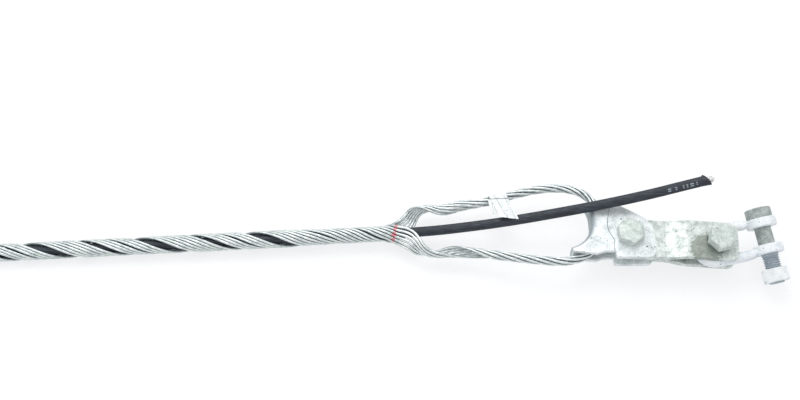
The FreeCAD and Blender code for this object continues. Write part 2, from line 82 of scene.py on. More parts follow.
def ramp(tree, factor, stops):
    """Colour ramp with stops of place and sRGB hex value."""
    made = add(tree, "ValToRGB", links={"Fac": factor})
    bar = made.color_ramp
    while len(bar.elements) < len(stops):
        bar.elements.new(0.5)
    for element, (place, code) in zip(bar.elements, stops):
        element.position = place
        element.color = linear(code)
    return made.outputs["Color"]


def seen_or_mirrored(tree):
    """1 for a ray from the camera, or one that a bright surface or glass sends on, else 0."""
    path = add(tree, "LightPath")
    kinds = [path.outputs["Is " + kind + " Ray"] for kind in ("Camera", "Glossy", "Transmission")]
    two = add(tree, "Math", links={0: kinds[0], 1: kinds[1]}, operation="MAXIMUM")
    three = add(tree, "Math", links={0: two.outputs[0], 1: kinds[2]}, operation="MAXIMUM")
    return three.outputs[0]


# Paper is white and matt. The camera and the bright metal see it nearly at full white, with
# the object's shadow left on it, and everything else sees it as the lamps light it.
paper, tree, shader = new_finish("white paper sheet")
shader.inputs["Base Color"].default_value = linear("#F4F5F6")
shader.inputs["Roughness"].default_value = 0.9
faint = add(tree, "BsdfDiffuse", {"Color": (0.3, 0.3, 0.3, 1)})
glow = add(tree, "Emission", {"Strength": 0.72, "Color": (0.985, 0.992, 1, 1)})
lit = add(tree, "AddShader", links={0: faint.outputs[0], 1: glow.outputs[0]})
choice = add(tree, "MixShader", links={"Fac": seen_or_mirrored(tree), 1: shader.outputs[0],
                                       2: lit.outputs[0]})
tree.links.new(choice.outputs[0], tree.nodes["Material Output"].inputs["Surface"])
reach, level = 4, -0.0004
sheet = bpy.data.meshes.new("paper_floor")
sheet.from_pydata([(-reach, -reach, level), (reach, -reach, level), (reach, reach, level),
                   (-reach, reach, level)], [], [(0, 1, 2, 3)])
floor = bpy.data.objects.new("paper_floor", sheet)
scene.collection.objects.link(floor)
floor.data.materials.append(paper)

# The studio round it is grey low down and white overhead. The camera and the bright metal
# see it as plain white.
world = bpy.data.worlds.new("studio")
scene.world = world
world.use_nodes = True
tree = world.node_tree
sky = tree.nodes["Background"]
direction = add(tree, "TexCoord")
height = add(tree, "SeparateXYZ", links={0: direction.outputs["Generated"]})
dome = ramp(tree, height.outputs["Z"], [(0.0, "#6C7176"), (0.12, "#92979C"), (0.4, "#D8DBDD"),
                                        (0.85, "#F6F8FA")])
seen = add(tree, "Mix", {"B": (1, 1, 1, 1)}, {"Factor": seen_or_mirrored(tree), "A": dome},
           data_type="RGBA")
tree.links.new(seen.outputs["Result"], sky.inputs["Color"])
sky.inputs["Strength"].default_value = 1.0


def lamp(name, place, target, size, power):
    """Square soft lamp that faces a target."""
    data = bpy.data.lights.new(name, "AREA")
    data.size = size
    data.energy = power
    made = bpy.data.objects.new(name, data)
    scene.collection.objects.link(made)
    made.location = place
    away = np.array(place) - np.array(target)
    flat = math.hypot(away[0], away[1])
    made.rotation_euler = (math.atan2(flat, away[2]), 0, math.atan2(away[0], -away[1]))


lamp("key_light", (-0.30, 0.75, 1.4), (-0.10, 0.0, 0.0), 0.9, 7.8)
lamp("side_light", (-1.3, 0.35, 1.2), (-0.45, 0.0, 0.0), 0.9, 2.9)


# The tail is the free end of the cable: a strength member in black polyethylene,
# extruded smooth and stiff enough to stand out straight over the loop. It leaves the
# grip where the two legs part and ends bare, where a cutter has splayed the jacket.

cable_d = 0.0112
tail_points = np.array([
    (-262, 16.8, 17), (-225.05, 18.58, 17.53), (-182, 20.0, 24.6), (-132, 22.9, 33.4),
    (-80, 27.4, 44), (-28, 32.7, 54.6), (24, 40.4, 64.2), (54, 46.3, 69.5),
    (81.3, 51.4, 74.15)]) / 1000
line = bpy.data.curves.new("free_cable", "CURVE")
line.dimensions = "3D"
spline = line.splines.new("NURBS")
spline.points.add(len(tail_points) - 1)
spline.points.foreach_set("co", np.c_[tail_points, np.ones(len(tail_points))].ravel())
spline.order_u = 3
spline.use_endpoint_u = True
spline.resolution_u = 16
spline.use_smooth = True
line.bevel_depth = cable_d / 2
line.bevel_resolution = 7
line.use_fill_caps = True
free_cable = bpy.data.objects.new("free_cable", line)
scene.collection.objects.link(free_cable)


def unit(v):
    """Vectors divided by their lengths."""
    v = np.asarray(v, dtype=float)
    return v / np.linalg.norm(v, axis=-1, keepdims=True)


def smooth(t):
    """Smooth step from 0 to 1: 3 t squared less 2 t cubed."""
    t = np.clip(t, 0, 1)
    return t * t * (3 - 2 * t)


def aim(direction):
    """Matrix of the shortest turn that takes the upright axis to a direction."""
    x, y, z = unit(direction)
    k = np.array([[0, 0, x], [0, 0, y], [-x, -y, 0]])
    return np.eye(3) + k + k @ k / (1 + z)


def skin(name, grid, finish, uv=None, sharp=None):
    """Closed mesh at the origin from rows of points round an axis.

    Quads join each row to the next and each column to the next, and a fan about its middle
    closes the first row and the last. uv has one more column than the grid, so the pattern
    does not run back at the seam. Edges turned by more than sharp degrees stay sharp.
    """
    rows, sides = grid.shape[:2]
    i, j = np.meshgrid(np.arange(rows - 1), np.arange(sides), indexing="ij")
    row, row_2, j_2 = i * sides, (i + 1) * sides, (j + 1) % sides
    faces = np.stack([row + j, row + j_2, row_2 + j_2, row_2 + j], axis=-1).reshape(-1, 4).tolist()
    a = np.arange(sides)
    b, last, middle = (a + 1) % sides, (rows - 1) * sides, rows * sides
    faces += np.stack([b, a, 0 * a + middle], axis=1).tolist()
    faces += np.stack([last + a, last + b, 0 * a + middle + 1], axis=1).tolist()
    points = np.vstack([grid.reshape(-1, 3), grid[0].mean(axis=0), grid[-1].mean(axis=0)])
    mesh = bpy.data.meshes.new(name)
    mesh.from_pydata(points.tolist(), [], faces)
    if uv is not None:
        around = np.stack([uv[i, j], uv[i, j + 1], uv[i + 1, j + 1], uv[i + 1, j]], axis=2)
        ends = np.repeat(np.stack([uv[0, :1], uv[-1, :1]]), 3 * sides, axis=1)
        flat_uv = np.vstack([around.reshape(-1, 2), ends.reshape(-1, 2)])
        mesh.uv_layers.new(name="UVMap").data.foreach_set("uv", flat_uv.ravel())
    mesh.polygons.foreach_set("use_smooth", np.ones(len(mesh.polygons), dtype=bool))
    mesh.update()
    if sharp:
        mesh.set_sharp_from_angle(angle=math.radians(sharp))
    made = bpy.data.objects.new(name, mesh)
    scene.collection.objects.link(made)
    made.data.materials.append(finish)
    return made


# Black polyethylene has a waxy sheen, lengthwise scuffs from the drum, 25 mm long and
# about 1.4 mm wide, and near its end two rows of plain white dashes that were printed on
# as it was extruded: the rows are 2.2 mm apart, and a dash comes about every 4 mm.
jacket, tree, shader = new_finish("extruded black polyethylene")
where = add(tree, "TexCoord")
along = add(tree, "Mapping", {"Scale": (40, 700, 700)}, {"Vector": where.outputs["Object"]})
scuffs = add(tree, "TexNoise", {"Scale": 1.0, "Detail": 4.0}, {"Vector": along.outputs[0]})
black = ramp(tree, scuffs.outputs["Fac"], [(0.3, "#151A21"), (0.52, "#262D37"), (0.75, "#434D58")])
end_at = tail_points[-1]
end_run = unit(tail_points[-1] - tail_points[-2])
yaw, pitch = math.atan2(end_run[1], end_run[0]), -math.asin(end_run[2])
dash_every, row_apart, off_row, print_middle, print_half = 0.0042, 0.0022, 0.00062, -0.025, 0.017
print_round = math.radians(38)
printed = add(tree, "Mapping", {"Location": tuple(end_at), "Rotation": (print_round, pitch, yaw)},
              {"Vector": where.outputs["Object"]}, vector_type="TEXTURE")
part = add(tree, "SeparateXYZ", links={0: printed.outputs[0]})
beat = add(tree, "TexNoise", {"Scale": 1 / dash_every, "Detail": 0.0, "Roughness": 0.0},
           {"W": part.outputs["X"]}, noise_dimensions="1D")
dash = add(tree, "Math", {1: 0.52}, {0: beat.outputs["Fac"]}, operation="GREATER_THAN")
row = add(tree, "Math", {1: row_apart / 2}, {0: part.outputs["Y"]}, operation="PINGPONG")
narrow = add(tree, "Math", {1: off_row}, {0: row.outputs[0]}, operation="GREATER_THAN")
band = add(tree, "Math", {1: 0.0, 2: row_apart}, {0: part.outputs["Y"]}, operation="COMPARE")
upper = add(tree, "Math", {1: 0.0}, {0: part.outputs["Z"]}, operation="GREATER_THAN")
near_end = add(tree, "Math", {1: print_middle, 2: print_half}, {0: part.outputs["X"]},
               operation="COMPARE")
mark = dash.outputs[0]
for other in (narrow, band, upper, near_end):
    both = add(tree, "Math", links={0: mark, 1: other.outputs[0]}, operation="MULTIPLY")
    mark = both.outputs[0]
ink = add(tree, "Mix", {"B": linear("#A9B2BA")}, {"Factor": mark, "A": black}, data_type="RGBA")
tree.links.new(ink.outputs["Result"], shader.inputs["Base Color"])
grain = add(tree, "Bump", {"Strength": 0.25, "Distance": 0.0002}, {"Height": scuffs.outputs["Fac"]})
tree.links.new(grain.outputs[0], shader.inputs["Normal"])
shader.inputs["Roughness"].default_value = 0.58
shader.inputs["IOR"].default_value = 1.51

free_cable.data.materials.append(jacket)
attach(free_cable, "grip")
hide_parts("cable_tail")

# The lip is the jacket's cut end, sheared aslant, turned outward and ragged: a plug with
# a waving edge, whose face leans back on one side by half its radius.
round_the_end = aim(end_run)
a = np.linspace(0, 2 * math.pi, 48, endpoint=False)
lean_most, lean_side = 0.0031, math.radians(120)
lip_along = np.array([-3.6, -2.0, 0.2, 2.0, 3.2, 3.7, 3.4, 2.9, 2.6])[:, None] / 1000
lip_out = np.array([5.4, 5.68, 5.9, 6.3, 6.4, 5.8, 4.6, 3.0, 1.6])[:, None] / 1000
wave = smooth((lip_out - 0.0055) / 0.001) * (0.05 * np.sin(3 * a + 1) + 0.03 * np.sin(7 * a))
lean_back = lean_most * lip_out / 0.006 * smooth((lip_along + 0.002) / 0.005) * np.cos(a - lean_side)
lip_r = lip_out * (1 + wave)
lip_z = lip_along - 0.004 * wave - lean_back
lip_local = np.stack(np.broadcast_arrays(lip_r * np.cos(a), lip_r * np.sin(a), lip_z), axis=-1)
lip = skin("jacket_lip", end_at + lip_local @ round_the_end.T, jacket)
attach(lip, "grip")

# The strength member is a bundle of fibres, sheared off and frayed into a stub: pale, dull
# and grainy, the fibres drawn 1.4 mm thick to show at all.
core, tree, shader = new_finish("sheared fibre core")
where = add(tree, "TexCoord")
fibres = add(tree, "TexNoise", {"Scale": 700.0, "Detail": 3.0}, {"Vector": where.outputs["Object"]})
pale = ramp(tree, fibres.outputs["Fac"], [(0.34, "#A5A7A4"), (0.45, "#E2E2DF"), (0.6, "#F6F6F3")])
tree.links.new(pale, shader.inputs["Base Color"])
torn = add(tree, "Bump", {"Strength": 0.6, "Distance": 0.0006}, {"Height": fibres.outputs["Fac"]})
tree.links.new(torn.outputs[0], shader.inputs["Normal"])
shader.inputs["Roughness"].default_value = 0.75
stub_along = np.array([1.5, 4.0, 6.6, 8.6, 9.9, 10.4])[:, None] / 1000
stub_out = np.array([3.2, 3.4, 3.5, 3.3, 2.6, 1.2])[:, None] / 1000
fray = 1 + 0.09 * np.sin(5 * a + 900 * stub_along) + 0.06 * np.sin(9 * a - 1500 * stub_along)
stub_r = stub_out * fray
stub_z = stub_along + 0.0005 * np.sin(2 * a)
stub_local = np.stack(np.broadcast_arrays(stub_r * np.cos(a), stub_r * np.sin(a), stub_z), axis=-1)
stub = skin("core_stub", end_at + stub_local @ round_the_end.T, core)
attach(stub, "grip")
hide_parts("cable_core_stub")


def dress(names, finish):
    """Gives CAD nodes one finish in every slot."""
    for name in names:
        slots = nodes[name].material_slots
        if not slots:
            nodes[name].data.materials.append(finish)
        for one in slots:
            one.material = finish


dress(["cable_in_grip"], jacket)


# The grip is six hot dip galvanised steel wires, each formed to a right-hand helix at
# the works and wrapped on by hand. They lie side by side on the cable as a ribbon, part
# from it in a fan, close to a strand, turn round the thimble and come back.

# A lay is one turn of the wires. Their line leaves the cable at part_point, and its curve
# starts two leads before it. The ribbons stand wrap_r from the cable's axis, and the
# strand's wires strand_r from its own. Stations are the points along a wire.
lay = 0.124
wire_d = 0.003
spacing = 0.0033
wrap_length = 0.464
part_point = np.array([-0.262, 0.0168, 0.017])
slope = np.array([1, 0.0483, 0.0143])
cable_dir = unit(slope)
wrap_r = 0.00735
strand_r = 0.0034
fan_length = 0.075
blend_length = 0.150
lead = 0.012
on_top_at = -0.246
behind = math.radians(174)
station = 0.003


def on_cable(x):
    """Centre of the cable at x, on a straight line through the parting place."""
    return part_point + np.outer(np.atleast_1d(x) - part_point[0], slope)


def ahead(inside):
    """Turn by which a ribbon runs ahead of its even lay.

    It is sixty degrees at 5 mm past the parting, and eases off over 75 mm back along the
    wrap and over 24 mm along the leg.
    """
    past = np.asarray(inside) - 0.005
    return math.radians(60) * smooth(1 - np.abs(past) / np.where(past > 0, 0.024, 0.075))


def through(knots, count):
    """Points at equal distances on the cubic spline through the knots, and its length.

    The second derivatives come from the usual set of equations, with none at the ends.
    """
    gaps = np.linalg.norm(np.diff(knots, axis=0), axis=1)
    t = np.r_[0, np.cumsum(gaps)]
    n = len(knots)
    left = np.eye(n)
    right = np.zeros((n, 3))
    inner = np.arange(1, n - 1)
    left[inner, inner - 1] = gaps[:-1]
    left[inner, inner] = 2 * (gaps[:-1] + gaps[1:])
    left[inner, inner + 1] = gaps[1:]
    rise = np.diff(knots, axis=0) / gaps[:, None]
    right[1:-1] = 6 * np.diff(rise, axis=0)
    bend = np.linalg.solve(left, right)
    u = np.linspace(0, t[-1], 6000)
    i = np.clip(np.searchsorted(t, u) - 1, 0, n - 2)
    h, a, b = gaps[i][:, None], (t[i + 1] - u)[:, None], (u - t[i])[:, None]
    p = (bend[i] * a ** 3 + bend[i + 1] * b ** 3) / (6 * h)
    p += (knots[i] / h - bend[i] * h / 6) * a + (knots[i + 1] / h - bend[i + 1] * h / 6) * b
    s = np.r_[0, np.cumsum(np.linalg.norm(np.diff(p, axis=0), axis=1))]
    even = np.linspace(0, s[-1], count)
    return np.stack([np.interp(even, s, p[:, k]) for k in range(3)], axis=1), s[-1]


def round_saddle(y, degrees):
    """Arc of the strand's centre in the middle plane, 42.8 mm from the saddle's centre."""
    a = np.radians(degrees)
    return np.stack([-0.072 + 0.0428 * np.cos(a), y + 0.0428 * np.sin(a), 0.035 + 0 * a], axis=1)


starts = on_cable(part_point[0] - np.array([2, 1, 0]) * lead)
front_leg = np.array([
    (-249.4, 13.8, 17.6), (-239.7, 8.8, 18.0), (-231.8, 4.2, 18.5), (-223.9, -1.4, 19.1),
    (-214, -6.6, 20), (-200.8, -8, 21.5), (-176, -10, 22.5), (-150.4, -13.6, 24.5),
    (-118.1, -20.2, 28.5), (-91.4, -24.6, 31.5)]) / 1000
rear_leg = np.array([
    (-60.5, 64.6, 33), (-80.8, 67, 31), (-113.4, 63.2, 27.5), (-155.4, 53.8, 23),
    (-188.2, 49, 20), (-208, 44.6, 18), (-219, 45, 17.4), (-227, 42.5, 17.2),
    (-235, 35.5, 17), (-243, 26.5, 17), (-252, 19.6, 17.1)]) / 1000
knots = np.vstack([starts, front_leg, round_saddle(0.016, [-75, -37.5, 0]),
                   round_saddle(0.024, [0, 25, 50]), rear_leg, starts[::-1]])

loop_length = through(knots, 2)[1]
loop_count = int(round(loop_length / station))
wrap_count = int(round(wrap_length / station))
loop = through(knots, loop_count + 1)[0]
s_wrap = np.linspace(-wrap_length, 0, wrap_count, endpoint=False)
wrap = starts[0] + s_wrap[:, None] * cable_dir
centre = np.vstack([wrap, loop, wrap[::-1]])
distance = np.r_[s_wrap, np.linspace(0, loop_length, loop_count + 1), loop_length - s_wrap[::-1]]
leave = 2 * lead
rejoin = loop_length - 2 * lead
inside = np.minimum(distance - leave, rejoin - distance)
rear_half = np.arange(len(centre)) > len(centre) // 2
own = unit(np.gradient(centre, axis=0))
turned = smooth(inside / fan_length)[:, None]
facing = unit(own * turned + cable_dir * np.where(rear_half, -1, 1)[:, None] * (1 - turned))
upright = np.array([0, 0, 1.0])
side = unit(np.cross(upright, facing))
over = np.cross(facing, side)

# The side and over directions turn a little about the run where the leg climbs and bends,
# and the lay of the wires is counted without that turn. By an even lay the front ribbon's
# middle would lie on top of the cable 246 mm before the thimble bolt, and the rear one
# follows 174 degrees behind it. What that leaves of whole turns is spread over the loop.
unturned = -np.cumsum(np.sum(np.gradient(side, axis=0) * over, axis=1))
first = np.argmin(np.abs(distance - leave))
final = np.argmin(np.abs(distance - rejoin))
unturned -= unturned[first]
turn = 2 * math.pi / lay
start = math.pi / 2 + turn * (part_point[0] - on_top_at) + ahead(0.0)
arrive = math.pi - (start - behind) - unturned[final]
twist = turn * (rejoin - leave) - 2 * ahead(0.0)
whole = round((start + twist - arrive) / (2 * math.pi))
spare = arrive + 2 * math.pi * whole - start - twist
phase = start + turn * (distance - leave) - ahead(0.0)
phase += ahead(distance - leave) - ahead(rejoin - distance)
phase += spare * smooth((distance - leave - fan_length) / (rejoin - leave - 2 * fan_length))

# Between 78 and 118 mm before the fan the wrap grows loose. From there on it stands 1.1 mm
# off the cable, its ribbons draw together, and the rear one is split in its middle and
# turned back a little.
loose_from, loose_over, loose_off = 0.118, 0.040, 0.0011
draw_front, draw_rear = 0.065, 0.113
rear_split, rear_back = math.radians(5), math.radians(6.5)
loose = 1 - smooth((inside + loose_from) / loose_over)
ring = strand_r + (wrap_r - strand_r) * (1 - smooth(inside / blend_length)) + loose_off * loose


def wire_line(number):
    """Centre line of a wire, and the way it faces out.

    The wire lies on the ring round the grip's own line, at the ribbon's phase plus its own
    place in the ribbon. From 8 mm before the legs part the ribbon runs flat for 62 mm: it
    bends about a centre that lies up to 25 mm further off, with a third more room between
    its wires.
    """
    place = number - 2.5
    flat = np.clip((inside + 0.008) / 0.062, 0, 1)
    hump = smooth(2 * np.minimum(flat, 1 - flat))
    bend_r = ring + 0.025 * hump
    rate = np.gradient(phase) / np.gradient(distance)
    apart = spacing * np.hypot(1, ring * rate) * (1 + 0.35 * hump)
    away = place * 2 * np.arcsin(np.minimum(apart / (2 * bend_r), 0.5))
    away = away * (1 - np.where(rear_half, draw_rear, draw_front) * loose)
    away = away + np.where(rear_half, np.copysign(rear_split, place) - rear_back, 0) * loose
    middle_at, wire_at = (phase + unturned)[:, None], (phase + unturned + away)[:, None]
    middle = centre + (side * np.cos(middle_at) + over * np.sin(middle_at)) * (ring - bend_r)[:, None]
    out = side * np.cos(wire_at) + over * np.sin(wire_at)
    return middle + out * bend_r[:, None], out


def round_bar(name, line_points, out, radius, finish, sides=12):
    """Closed tube: at each point of its line a circle of the radius, square to the run.

    The circle starts and ends on the side that faces in. The pattern runs along the bar,
    and its height is the distance round from the side that faces out.
    """
    run = unit(np.gradient(line_points, axis=0))
    across = unit(np.cross(out, run))
    rise = np.cross(run, across)
    a = np.linspace(-0.5 * math.pi, 1.5 * math.pi, sides + 1)[None, :, None]
    rings = line_points[:, None] + radius * (np.cos(a) * across[:, None] + np.sin(a) * rise[:, None])
    s = np.r_[0, np.cumsum(np.linalg.norm(np.diff(line_points, axis=0), axis=1))]
    uv = np.stack(np.broadcast_arrays(s[:, None], (a[..., 0] - math.pi / 2) * radius), axis=-1)
    return skin(name, rings[:, :-1], finish, uv)


# Hot dip zinc on drawn wire is bright and nearly white under soft light, with a spangle of
# about 4 mm and darker streaks where it was drawn, 18 mm long and 1.1 mm wide. The sides
# that face the next wire, a quarter turn from the outward one, get painted shade where the
# neighbouring wire shades them. A stroke of red paint, 3 mm wide and 25 mm long, crosses the
# front ribbon where it goes on the cable.
zinc_wire, tree, shader = new_finish("galvanised drawn wire")
where = add(tree, "TexCoord")
drawn = add(tree, "Mapping", {"Scale": (55, 900, 1)}, {"Vector": where.outputs["UV"]})
streaks = add(tree, "TexNoise", {"Scale": 1.0, "Detail": 3.0}, {"Vector": drawn.outputs[0]})
patches = add(tree, "TexNoise", {"Scale": 230.0, "Detail": 5.0, "Roughness": 0.6},
              {"Vector": where.outputs["Object"]})
both = add(tree, "Mix", {"Factor": 0.5}, {"A": streaks.outputs["Fac"], "B": patches.outputs["Fac"]})
bright = ramp(tree, both.outputs["Result"], [(0.34, "#A3ADAD"), (0.48, "#CED6D5"), (0.6, "#EDF1F0")])
round_wire = add(tree, "SeparateXYZ", links={0: where.outputs["UV"]})
off_top = add(tree, "Math", links={0: round_wire.outputs["Y"]}, operation="ABSOLUTE")
quarter_turn = math.pi / 2 * wire_d / 2
off_side = add(tree, "Math", {1: quarter_turn}, {0: off_top.outputs[0]}, operation="SUBTRACT")
from_side = add(tree, "Math", links={0: off_side.outputs[0]}, operation="ABSOLUTE")
# Painted shade: the sides a quarter turn from the outward one are mixed towards dark grey, where the
# next wire shades them.
painted_groove_shade = add(tree, "MapRange", {"From Min": 0.0002, "From Max": 0.0013, "To Min": 0.72, "To Max": 0.0},
             {"Value": from_side.outputs[0]})
dull = add(tree, "Mix", {"B": linear("#5F6A70")}, {"Factor": painted_groove_shade.outputs[0], "A": bright},
           data_type="RGBA")
bright = dull.outputs["Result"]
paint_at, paint_slant = (-0.2560, 0.0150, 0.024), math.radians(-14)
from_paint = add(tree, "Mapping", {"Location": paint_at, "Rotation": (0, 0, paint_slant)},
                 {"Vector": where.outputs["Object"]}, vector_type="TEXTURE")
part = add(tree, "SeparateXYZ", links={0: from_paint.outputs[0]})
brush = add(tree, "TexNoise", {"Scale": 420.0, "Detail": 2.0}, {"Vector": where.outputs["Object"]})
ragged = add(tree, "MapRange", {"From Min": 0.3, "From Max": 0.7, "To Min": -0.0026, "To Max": 0.0026},
             {"Value": brush.outputs["Fac"]})
edge = add(tree, "Math", links={0: part.outputs["X"], 1: ragged.outputs[0]})
stroke = add(tree, "Math", {1: 0.0, 2: 0.0016}, {0: edge.outputs[0]}, operation="COMPARE")
reach = add(tree, "Math", {1: 0.0, 2: 0.0125}, {0: part.outputs["Y"]}, operation="COMPARE")
upper = add(tree, "Math", {1: -0.006}, {0: part.outputs["Z"]}, operation="GREATER_THAN")
painted = stroke.outputs[0]
for other in (reach, upper):
    met = add(tree, "Math", links={0: painted, 1: other.outputs[0]}, operation="MULTIPLY")
    painted = met.outputs[0]
thin = add(tree, "Math", {1: 0.75}, {0: painted}, operation="MULTIPLY")
red = add(tree, "Mix", {"B": linear("#D9566B")}, {"Factor": thin.outputs[0], "A": bright},
          data_type="RGBA")
tree.links.new(red.outputs["Result"], shader.inputs["Base Color"])
rough = add(tree, "MapRange", {"To Min": 0.2, "To Max": 0.42}, {"Value": patches.outputs["Fac"]})
tree.links.new(rough.outputs[0], shader.inputs["Roughness"])
grain = add(tree, "Bump", {"Strength": 0.2, "Distance": 0.0001}, {"Height": both.outputs["Result"]})
tree.links.new(grain.outputs[0], shader.inputs["Normal"])
shader.inputs["Metallic"].default_value = 0.7

for number in range(6):
    wire = round_bar("galvanised_wire_%d" % (number + 1), *wire_line(number), wire_d / 2, zinc_wire)
    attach(wire, "grip")
    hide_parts("grip_wire_%d" % (number + 1))


# The marking tag is one strip of white vinyl film, wrapped round the rear leg and stuck
# to itself, so that its two ends make a flag that reaches over the cable. It has been
# creased by handling.

# Vinyl film is white with a soft sheen and slightly buckled, with painted shade along its
# creases and a faint row of dashes near one edge. One crease lies across the strip and two
# run along it, each given by its axis, slant, place, half width and depth of painted shade.
film, tree, shader = new_finish("white vinyl film")
where = add(tree, "TexCoord")
creases = add(tree, "TexNoise", {"Scale": 90.0, "Detail": 2.0}, {"Vector": where.outputs["Object"]})
white = ramp(tree, creases.outputs["Fac"], [(0.3, "#E2E6E6"), (0.48, "#F0F2F2"), (0.66, "#F8F9F9")])
strip = add(tree, "SeparateXYZ", links={0: where.outputs["UV"]})
beat = add(tree, "TexNoise", {"Scale": 1 / 0.0024, "Detail": 0.0}, {"W": strip.outputs["Y"]},
           noise_dimensions="1D")
dash = add(tree, "Math", {1: 0.55}, {0: beat.outputs["Fac"]}, operation="GREATER_THAN")
row = add(tree, "Math", {1: 0.0162, 2: 0.0005}, {0: strip.outputs["X"]}, operation="COMPARE")
mark = add(tree, "Math", links={0: dash.outputs[0], 1: row.outputs[0]}, operation="MULTIPLY")
faded_print_and_shadow = add(tree, "Math", {1: 0.7}, {0: mark.outputs[0]}, operation="MULTIPLY")
print_colour = add(tree, "Mix", {"B": linear("#A3A7A5")}, {"Factor": faded_print_and_shadow.outputs[0], "A": white},
                   data_type="RGBA")
shade = print_colour.outputs["Result"]
wander = add(tree, "MapRange", {"From Min": 0.3, "From Max": 0.7, "To Min": -0.0011, "To Max": 0.0011},
             {"Value": creases.outputs["Fac"]})
# Painted shade: each crease is a darker line mixed into the colour, as strong as its depth.
for axis, other, slant, at, wide, depth in (("Y", "X", 0.30, 0.0370, 0.0013, 1.0),
                                            ("X", "Y", 0.05, 0.0074, 0.0007, 0.5),
                                            ("X", "Y", 0.0, 0.0150, 0.0006, 0.35)):
    level = add(tree, "Math", {1: slant}, {0: strip.outputs[other], 2: strip.outputs[axis]},
                operation="MULTIPLY_ADD")
    placed = add(tree, "Math", links={0: level.outputs[0], 1: wander.outputs[0]})
    off_crease = add(tree, "Math", {1: at}, {0: placed.outputs[0]}, operation="SUBTRACT")
    either_way = add(tree, "Math", links={0: off_crease.outputs[0]}, operation="ABSOLUTE")
    crease_shade_mask = add(tree, "MapRange", {"From Min": 0.0, "From Max": wide, "To Min": depth, "To Max": 0.0},
                 {"Value": either_way.outputs[0]})
    painted_crease_shade = add(tree, "Mix", {"B": linear("#59615E")}, {"Factor": crease_shade_mask.outputs[0], "A": shade},
               data_type="RGBA")
    shade = painted_crease_shade.outputs["Result"]
tree.links.new(shade, shader.inputs["Base Color"])
buckled = add(tree, "Bump", {"Strength": 0.3, "Distance": 0.0006}, {"Height": creases.outputs["Fac"]})
tree.links.new(buckled.outputs[0], shader.inputs["Normal"])
shader.inputs["Roughness"].default_value = 0.45

film_w = 0.019
film_r = 0.0060
film_apart = 0.0005
front_reach = 0.0405
back_reach = front_reach - 0.0135
tag_run = unit([0.9687, 0.2257, 0.1034])
tag_at = np.array([-0.13717, 0.0575, 0.02484]) - 0.003 * tag_run
tag_back = unit(np.array([0, 1, 0]) - tag_run * tag_run[1])
tag_down = np.cross(tag_back, tag_run)
meet = math.acos(1 - film_apart / film_r)
bend = np.linspace(math.pi, meet - math.pi, 60)
flag = np.linspace(-front_reach, 0, 30, endpoint=False)
back_flag = np.linspace(-film_r * math.sin(meet), -back_reach, 31)[1:]
folded = np.vstack([np.stack([0 * flag - film_r, flag], axis=1),
                    np.stack([np.cos(bend), np.sin(bend)], axis=1) * film_r,
                    np.stack([0 * back_flag - film_r + film_apart, back_flag], axis=1)])
wound = np.r_[0, np.cumsum(np.linalg.norm(np.diff(folded, axis=0), axis=1))]
film_length = wound[-1]


def film_surface(columns):
    """The folded strip: its side view carried across its width, curled and creased.

    The front layer's free end was cut aslant. The flag's free corners curl up by 0.9 mm
    with the square of the distance from the strip's middle, and a wave 0.8 mm high runs
    over it. Two creases run from the fold to the free end as rounded ridges, 0.6 and
    0.4 mm high. The strip was wound on askew, so it moves along the leg as it goes round,
    and its two ends do not cover each other. The flag rises by 17 degrees to the cable.
    """
    w = np.linspace(-film_w / 2, film_w / 2, columns)[None, :]
    out = np.clip(-folded[:, 1] - film_r, 0, None)[:, None]
    free = smooth(out / 0.020)
    curl = 0.0009 * free * (2 * w / film_w) ** 2 + 0.0008 * free * np.sin(260 * out + 160 * w)
    ridges = 0.0006 * np.exp(-((w + 0.0021) / 0.0006) ** 2)
    ridges = ridges + 0.0004 * np.exp(-((w - 0.0058) / 0.0006) ** 2)
    lift = curl + ridges * smooth(out / 0.004)
    lean = math.radians(-17)
    x = folded[:, :1] - lift
    y = folded[:, 1:] + 0 * w
    turned_x = x * math.cos(lean) - y * math.sin(lean)
    turned_y = x * math.sin(lean) + y * math.cos(lean)
    askew = 0.075 * (film_length / 2 - wound)[:, None]
    front_layer = np.clip(1 - wound / front_reach, 0, None)[:, None]
    turned_y = turned_y - 0.40 * w * front_layer
    return (tag_at + turned_x[..., None] * tag_down + turned_y[..., None] * tag_back
            + (w + askew + 0 * x)[..., None] * tag_run)


grid = film_surface(25)
rows, columns = grid.shape[:2]
i, j = np.meshgrid(np.arange(rows - 1), np.arange(columns - 1), indexing="ij")
corner = i * columns + j
faces = np.stack([corner, corner + 1, corner + columns + 1, corner + columns], axis=-1).reshape(-1, 4)
uv = np.stack(np.meshgrid(np.linspace(0, film_w, columns), wound), axis=-1).reshape(-1, 2)
mesh = bpy.data.meshes.new("marking_film")
mesh.from_pydata(grid.reshape(-1, 3).tolist(), [], faces.tolist())
mesh.uv_layers.new(name="UVMap").data.foreach_set("uv", uv[faces.ravel()].ravel())
mesh.polygons.foreach_set("use_smooth", np.ones(len(mesh.polygons), dtype=bool))
mesh.update()
marking_film = bpy.data.objects.new("marking_film", mesh)
scene.collection.objects.link(marking_film)
marking_film.data.materials.append(film)
wall = marking_film.modifiers.new("film thickness", "SOLIDIFY")
wall.thickness = 0.00022
wall.offset = 0
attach(marking_film, "grip")
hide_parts("marking_tag")


# The thimble is a casting, dipped in zinc. The thick matt coat runs and pools, so it is
# nearly white, softly mottled, and pitted where the sand has left its mark.

